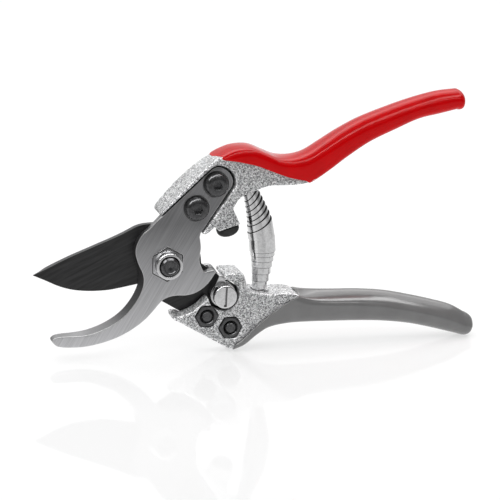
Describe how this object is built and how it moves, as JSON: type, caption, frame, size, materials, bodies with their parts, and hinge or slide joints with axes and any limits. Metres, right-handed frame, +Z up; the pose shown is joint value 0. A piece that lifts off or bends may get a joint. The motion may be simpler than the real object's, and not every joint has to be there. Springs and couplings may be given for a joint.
{
  "type": "pruning shears",
  "caption": "Bypass pruning shears with a black cutting blade, a steel hook, dipped red and grey grips, a volute spring and a thumb catch.",
  "frame": {"origin": "middle of the underside of the bounding box, on the surface the tool stands on, as drawn half open on its lower handle's edge", "axes": "+X from the pivot towards the handle ends, +Z up in the plane of the tool, -Y out of the hook side"},
  "size_m": [0.2, 0.0206, 0.1121],
  "materials": {
    "cast_aluminium": "sand-textured, as cast",
    "brushed_steel": "diagonal brushed grain",
    "black_coated_steel": "satin non-stick coating over ground steel",
    "black_oxide_steel": "black oxide, lightly oiled",
    "bright_steel": "polished",
    "red_pvc": "glossy dipped coat",
    "grey_pvc": "satin dipped coat",
    "black_rubber": "matt",
    "bronze": "machined"
  },
  "bodies": {
    "blade_side": {"lower_handle_casting": "cast_aluminium", "lower_grip": "grey_pvc", "cutting_blade": "black_coated_steel", "blade_bolt_front": "black_oxide_steel", "blade_bolt_rear": "black_oxide_steel", "blade_nut_front": "black_oxide_steel", "blade_nut_rear": "black_oxide_steel", "pivot_bushing": "bronze", "volute_spring": "bright_steel"},
    "hook_side": {"upper_handle_casting": "cast_aluminium", "upper_grip": "red_pvc", "hook_blade": "brushed_steel", "hook_screw_lower": "black_oxide_steel", "hook_screw_upper": "black_oxide_steel", "hook_nut_lower": "black_oxide_steel", "hook_nut_upper": "black_oxide_steel", "bumper": "black_rubber", "pivot_bolt": "black_oxide_steel", "pivot_nut": "bright_steel", "pivot_washer": "bright_steel"},
    "catch": {"thumb_catch": "bright_steel", "catch_screw": "bright_steel", "catch_washer": "bright_steel"}
  },
  "joints": [
    {"name": "handle_pivot", "type": "hinge", "parent": "blade_side", "child": "hook_side", "pos_m": [-0.04202, -0.0003, 0.04044], "axis": [0, 1, 0], "range_deg": [0, 28], "stiffness_Nm_per_rad": 1.5, "springref_deg": -17.19, "deforming": ["volute_spring"]},
    {"name": "catch_pivot", "type": "hinge", "parent": "blade_side", "child": "catch", "pos_m": [-0.01702, -0.0003, 0.02564], "axis": [0, -1, 0], "range_deg": [0, 56]}
  ]
}
